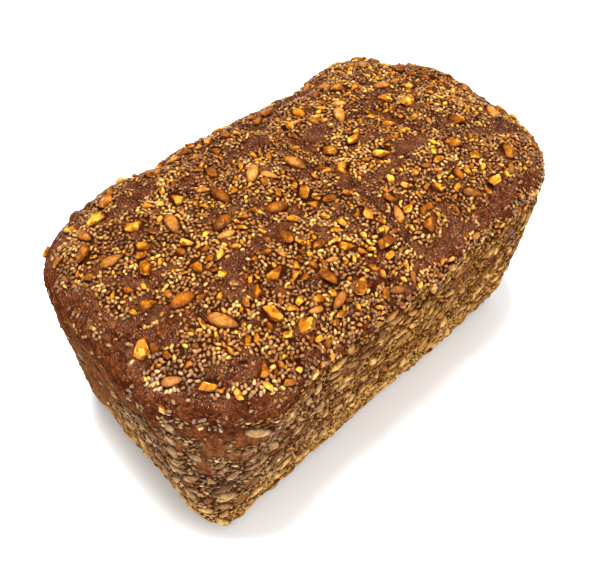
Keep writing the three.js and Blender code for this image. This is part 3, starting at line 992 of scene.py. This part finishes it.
class RYE_OT_crust(Operator):
    """Model the loaf's crust"""

    bl_idname = "rye.crust"
    bl_label = "Crust"

    def execute(self, context):
        settings = context.scene.rye_crust
        bpy.ops.object.select_all(action="DESELECT")
        bpy.ops.mesh.primitive_cube_add(size=1, location=(0, 0, HEIGHT * MM / 2))
        crust = context.object
        crust.scale = (LENGTH * MM, WIDTH * MM, HEIGHT * MM)
        bpy.ops.object.transform_apply(location=True, scale=True)
        bpy.ops.object.mode_set(mode="EDIT")
        select_where(crust, lambda p: p.z < MM)
        taper = (1 - 2 * END_TAPER / LENGTH, 1 - 2 * SIDE_TAPER / WIDTH, 1)
        bpy.ops.transform.resize(value=taper, center_override=(0, 0, 0))
        for test, offset, segments in (
            (lambda a, b: abs(a.z - b.z) > HEIGHT * MM / 2, (RIM_CORNER + BASE_CORNER) / 2 * MM, 6),
            (lambda a, b: min(a.z, b.z) > (HEIGHT - 1) * MM, DOME_HEIGHT * MM * BEVEL_SHARE, 5),
            (lambda a, b: max(a.z, b.z) < MM, BASE_EDGE * MM * BEVEL_SHARE, 4),
        ):
            select_edges(crust, test)
            bpy.ops.mesh.bevel(offset=offset, segments=segments, affect="EDGES")
        bpy.ops.object.mode_set(mode="OBJECT")
        apply_modifier(crust, "REMESH", mode="VOXEL", voxel_size=settings.voxel)
        # Every point but the flat base's moves to the smooth loaf, and from there to the crust.
        points = rows_of(crust.data.vertices, "co") / MM
        floor = points.copy()
        floor[:, 2] = 0
        base = (points[:, 2] < 0.8) & (outside_by(floor) < 0)
        wall = points[~base]
        for _ in range(FIT_STEPS):
            wall[:, 2] = np.clip(wall[:, 2], 0.01, HEIGHT)
            way = slope(wall)
            move = way * (outside_by(wall) / (way**2).sum(1))[:, None]
            longest = np.linalg.norm(move, axis=1, keepdims=True)
            wall -= move * np.minimum(1, LONGEST_STEP / np.maximum(longest, 1e-9))
        wall += unit(slope(wall)) * relief(wall)[:, None]
        points[~base] = wall
        points[base, 2] = 0
        points[:, 2] = np.maximum(points[:, 2], settings.base_lift / MM)
        crust.data.vertices.foreach_set("co", (points * MM).ravel())
        crust.data.update()
        crust.data.validate()
        normals = rows_of(crust.data.vertices, "normal")
        # Lumps a crumb's width across over coarse ones, less where the tin pressed.
        weight = crust.vertex_groups.new(name="loose")
        open_dough = ease(RIM_HEIGHT - 10, RIM_HEIGHT + 4, points[:, 2])
        loose = ease(0, 12, points[:, 2]) * mix(0.55, 1, open_dough)
        for step in range(WEIGHT_STEPS + 1):
            chosen = np.nonzero(np.round(loose * WEIGHT_STEPS) == step)[0]
            weight.add([int(i) for i in chosen], step / WEIGHT_STEPS, "REPLACE")
        for width, height in ((CRAG_WIDTH, settings.crag_height), (GRAIN_WIDTH, settings.grain_height)):
            lumps = bpy.data.textures.new("lumps", "CLOUDS")
            lumps.noise_scale = width * MM
            lumps.noise_depth = 2
            apply_modifier(
                crust, "DISPLACE", texture=lumps, strength=height, mid_level=0.5, texture_coords="LOCAL",
                vertex_group=weight.name,
            )
        crust.vertex_groups.clear()
        displaced = rows_of(crust.data.vertices, "co") / MM
        stood = ((displaced - points) * normals).sum(1)
        # Painted shade: the crust is darkened between the seeds and in its hollows, where shade falls.
        hollow_shade = ease(0.1, -0.7, stood - np.median(stood))
        shaded = np.maximum(0.85 * ease(0.3, 0.8, seed_cover(displaced)), 0.8 * hollow_shade)
        pressed = 1 - ease(RIM_HEIGHT - 16, RIM_HEIGHT - 2, displaced[:, 2])
        float_attribute(crust.data, "wall", pressed)
        float_attribute(crust.data, "shaded", shaded)
        # The pale mark is partly less-baked crust and partly painted light near the base.
        float_attribute(crust.data, "pale", 0.8 * lowness(displaced))
        crust.data.shade_smooth()
        finish_piece(crust, "crust", crust_material(settings))
        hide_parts("loaf")
        return {"FINISHED"}


class RYE_OT_meal(Operator):
    """Lay the crumbs of coarse meal that show between the seeds"""

    bl_idname = "rye.meal"
    bl_label = "Meal"

    def execute(self, context):
        patterns = [meal_pattern(seed) for seed in range(7)]
        colour = context.scene.rye_crust.meal_colour
        coat = {"scorch": 0.3, "blotch": 1.2, "faded": 0.95}
        # Coarse rye meal swollen in the oven: hard dark crumbs with a starch glaze that glints.
        glazed = seed_material(
            "glazed_rye_meal", colour, 0.16, 0.3, "#50240f", 0.2, specular=0.6, **coat,
        )
        lay_copies("meal_top", patterns, of_kind("meal", "top"), glazed, smooth=False)
        # The same crumbs over the rim, where the tin rubbed the glaze off.
        rubbed = seed_material(
            "rubbed_rye_meal", colour, 0.16, 0.3, "#50240f", 0.7, specular=0, **coat,
        )
        lay_copies("meal_rim", patterns, of_kind("meal", "wall"), rubbed, smooth=False)
        return {"FINISHED"}


class RYE_OT_small_seeds(Operator):
    """Lay the sesame, hulled sesame and linseed"""

    bl_idname = "rye.small_seeds"
    bl_label = "Small seeds"

    def execute(self, context):
        colours = context.scene.rye_topping
        patterns = [seed_pattern(6, 4, plump)]
        # Toasted sesame in its hull: tan to brown, each seed its own tone, with a faint oily shine.
        toasted = seed_material(
            "toasted_sesame", colours.sesame_colour, 0.3, 0.55, "#2c1203", 0.26, specular=0.5,
            faded=0.65,
        )
        # Sesame pressed by the tin: the same hull rubbed dull and flat.
        pressed = seed_material(
            "pressed_sesame", colours.pressed_colour, 0.3, 0.5, "#321a08", 0.7, specular=0, faded=0.8,
            dimmed=0.78,
        )
        # Hulled sesame: smooth ivory turned gold by the oven.
        hulled = seed_material(
            "hulled_sesame", colours.hulled_colour, 0.5, 0.7, "#6a3a0c", 0.32, faded=0.7,
        )
        # Linseed: a hard, shiny, red-brown hull.
        linseed = seed_material(
            "linseed", colours.linseed_colour, 0.4, 0.2, "#2a1006", 0.26, coat=0.2,
        )
        lay_copies("sesame_top", patterns, of_kind("sesame", "top"), toasted)
        walls = of_kind("sesame", "wall")
        lay_copies("sesame_front_wall", patterns, [p for p in walls if p.point[1] < 0], pressed)
        lay_copies("sesame_back_wall", patterns, [p for p in walls if p.point[1] >= 0], pressed)
        lay_copies("sesame_underside", patterns, of_kind("sesame", "underside"), pressed)
        lay_copies("hulled_sesame", patterns, of_kind("hulled"), hulled)
        lay_copies("linseed", [seed_pattern(6, 4, spindle)], of_kind("linseed"), linseed)
        return {"FINISHED"}


class RYE_OT_grit(Operator):
    """Lay the cracked soya"""

    bl_idname = "rye.grit"
    bl_label = "Cracked soya"

    def execute(self, context):
        colours = context.scene.rye_topping
        patterns = [grit_pattern(seed) for seed in range(9)]
        # Toasted soya cracked into grits: broken faces from yellow amber to burnt orange, creased
        # with brown, and a little glossy with the bean's oil.
        amber = seed_material(
            "toasted_soya", colours.soya_colour, 0.3, 0.75, "#6a2c04", 0.3, cream="#f4c044",
            specular=0.35, scorch=0.45, blotch=2.0, depth=0.004, faded=0.95, facets=1.0,
            tint=(1, 0.75, 0.4),
        )
        lay_copies("cracked_soya_top", patterns, of_kind("grit", "top"), amber, smooth=False)
        # The same grits pressed into the walls by the tin: duller and paler.
        pale = seed_material(
            "pressed_soya", colours.pressed_soya_colour, 0.35, 0.3, "#3f1f08", 0.5, specular=0.12,
            scorch=0.4, blotch=2.0, depth=0.003, faded=0.9, facets=0.7,
        )
        walls = of_kind("grit", "wall", "underside")
        lay_copies("cracked_soya_walls", patterns, walls, pale, smooth=False)
        return {"FINISHED"}


class RYE_OT_kernels(Operator):
    """Lay the sunflower kernels and the whole dark grains"""

    bl_idname = "rye.kernels"
    bl_label = "Kernels"

    def execute(self, context):
        colours = context.scene.rye_topping
        drops = [seed_pattern(8, 6, drop)]
        # Shelled sunflower kernels, roasted: a thin skin over a pale kernel, browned in patches.
        toasted = seed_material(
            "toasted_sunflower", colours.sunflower_colour, 0.35, 0.35, "#40200a", 0.36, scorch=0.4,
            blotch=1.6, depth=0.002, faded=0.9, facets=0.4,
        )
        lay_copies("sunflower_top", drops, of_kind("sunflower", "top"), toasted)
        # The same kernels pressed flat on the tin: paler, with dull rubbed faces.
        pressed = seed_material(
            "pressed_sunflower", colours.pressed_sunflower_colour, 0.4, 0.6, "#301806", 0.6,
            specular=0.02, scorch=0.4, blotch=1.8, depth=0.002, faded=0.85, dimmed=0.78, facets=0.5,
        )
        lay_copies("sunflower_walls", drops, of_kind("sunflower", "wall", "underside"), pressed)
        grain = [seed_pattern(10, 8, spindle)]
        # Whole roasted grain: a tight, glossy, chestnut skin with darker blotches.
        dark = seed_material(
            "roasted_grain", colours.grain_colour, 0.2, 0.6, "#2e1002", 0.2, cream="#e8981c",
            scorch=0.35, blotch=1.6, depth=0.0015, facets=0.3, tint=(1, 0.75, 0.4),
        )
        lay_copies("whole_grains", grain, of_kind("kernel"), dark)
        return {"FINISHED"}


class RYE_OT_stage(Operator):
    """Set the floor, the light and the camera"""

    bl_idname = "rye.stage"
    bl_label = "Stage"

    def execute(self, context):
        settings = context.scene.rye_stage
        bpy.ops.object.select_all(action="DESELECT")
        bpy.ops.mesh.primitive_plane_add(size=6, location=(0, 0, 0))
        floor = context.object
        floor.name = "floor"
        # Matt white paper: it takes the loaf's soft shadow and shows no shine.
        material, add = new_material("pale_paper")
        paper = add("BsdfPrincipled", {"Base Color": (0.92, 0.92, 0.92, 1), "Roughness": 0.9})
        add("OutputMaterial", {"Surface": paper})
        floor.data.materials.append(material)
        for name, (kind, place, size, power) in LIGHTS.items():
            light = bpy.data.lights.new(name, kind)
            setattr(light, "angle" if kind == "SUN" else "size", size)
            light.energy = power
            lamp = bpy.data.objects.new(name, light)
            context.scene.collection.objects.link(lamp)
            aim = Vector((0, 0, HEIGHT * MM / 2)) - Vector(place)
            turn = aim.to_track_quat("-Z", "Y").to_matrix().to_4x4()
            lamp.matrix_world = Matrix.Translation(place) @ turn
        world = bpy.data.worlds.new("studio")
        world.use_nodes = True
        # The far wall of the studio is seen pale, but throws little light on the loaf.
        world.node_tree.nodes.clear()
        add = functools.partial(add_node, world.node_tree)
        seen = add("LightPath").outputs["Is Camera Ray"]
        strength = add("MapRange", {"Value": seen, "To Min": 0.1, "To Max": 0.85})
        backdrop = add("Background", {"Color": (1, 1, 1, 1), "Strength": strength})
        add("OutputWorld", {"Surface": backdrop})
        context.scene.world = world
        context.scene.view_settings.view_transform = "Standard"
        target = Vector(VIEW_TARGET) * MM
        azimuth, elevation = settings.azimuth, settings.elevation
        back = Vector((
            math.sin(azimuth) * math.cos(elevation),
            -math.cos(azimuth) * math.cos(elevation),
            math.sin(elevation),
        ))
        right = Vector((math.cos(azimuth), math.sin(azimuth), 0))
        turn = Matrix((right, back.cross(right), back)).transposed()
        turn = turn @ Matrix.Rotation(-settings.roll, 3, "Z")
        camera = bpy.data.objects.new("camera", bpy.data.cameras.new("camera"))
        camera.data.lens = settings.lens
        camera.data.clip_start = 0.01
        camera.matrix_world = Matrix.Translation(target + back * settings.distance) @ turn.to_4x4()
        context.scene.collection.objects.link(camera)
        context.scene.camera = camera
        return {"FINISHED"}


class RYE_PT_panel(Panel):
    """The loaf's steps, in order"""

    bl_idname = "RYE_PT_panel"
    bl_label = "Seeded rye loaf"
    bl_space_type = "VIEW_3D"
    bl_region_type = "UI"
    bl_category = "Loaf"

    def draw(self, context):
        for group in (context.scene.rye_crust, context.scene.rye_topping, context.scene.rye_stage):
            box = self.layout.box()
            for name in group.bl_rna.properties.keys():
                if name not in ("rna_type", "name"):
                    box.prop(group, name)
        for operator in OPERATORS:
            self.layout.operator(operator.bl_idname)


OPERATORS = (RYE_OT_crust, RYE_OT_meal, RYE_OT_small_seeds, RYE_OT_grit, RYE_OT_kernels, RYE_OT_stage)
GROUPS = {"rye_crust": RyeCrust, "rye_topping": RyeTopping, "rye_stage": RyeStage}


def register():
    for group in GROUPS.values():
        bpy.utils.register_class(group)
    for operator in OPERATORS:
        bpy.utils.register_class(operator)
    bpy.utils.register_class(RYE_PT_panel)
    for name, group in GROUPS.items():
        setattr(bpy.types.Scene, name, PointerProperty(type=group))


def unregister():
    for name in GROUPS:
        delattr(bpy.types.Scene, name)
    for shown in (RYE_PT_panel, *OPERATORS, *GROUPS.values()):
        bpy.utils.unregister_class(shown)


def main():
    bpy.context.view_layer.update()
    register()
    bpy.ops.rye.crust()
    bpy.ops.rye.meal()
    bpy.ops.rye.small_seeds()
    bpy.ops.rye.grit()
    bpy.ops.rye.kernels()
    bpy.ops.rye.stage()
    bpy.context.view_layer.update()


if __name__ == "__main__":
    main()
